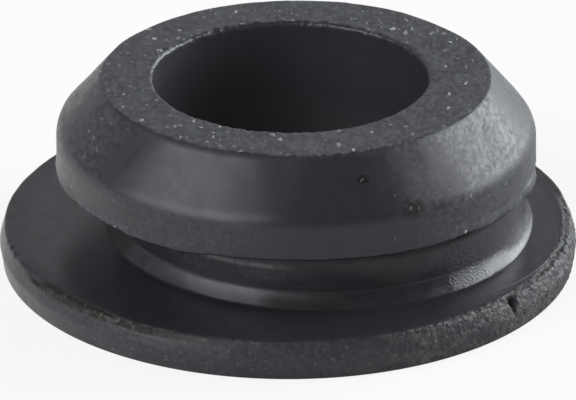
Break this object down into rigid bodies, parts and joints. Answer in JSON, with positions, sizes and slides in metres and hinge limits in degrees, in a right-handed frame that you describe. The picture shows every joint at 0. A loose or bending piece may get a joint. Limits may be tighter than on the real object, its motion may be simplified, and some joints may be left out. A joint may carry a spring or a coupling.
{
  "type": "rubber grommet",
  "caption": "Moulded rubber grommet with a wide flange, a panel groove and a tapered push-in head, lining a panel hole round a pipe or cable.",
  "frame": {"origin": "on the bore's axis, at the flange's flat underside", "axes": "+Z along the bore's axis, from the flange to the tapered head; +X the way the groove was moulded off centre, so the groove is deepest towards -X"},
  "size_m": [0.0254, 0.0254, 0.0085],
  "materials": {
    "rubber": "moulded, satin, with a dry granular bloom on the end face and a torn, granular stretch of rim"
  },
  "bodies": {
    "root": {"grommet": "rubber"}
  },
  "joints": []
}
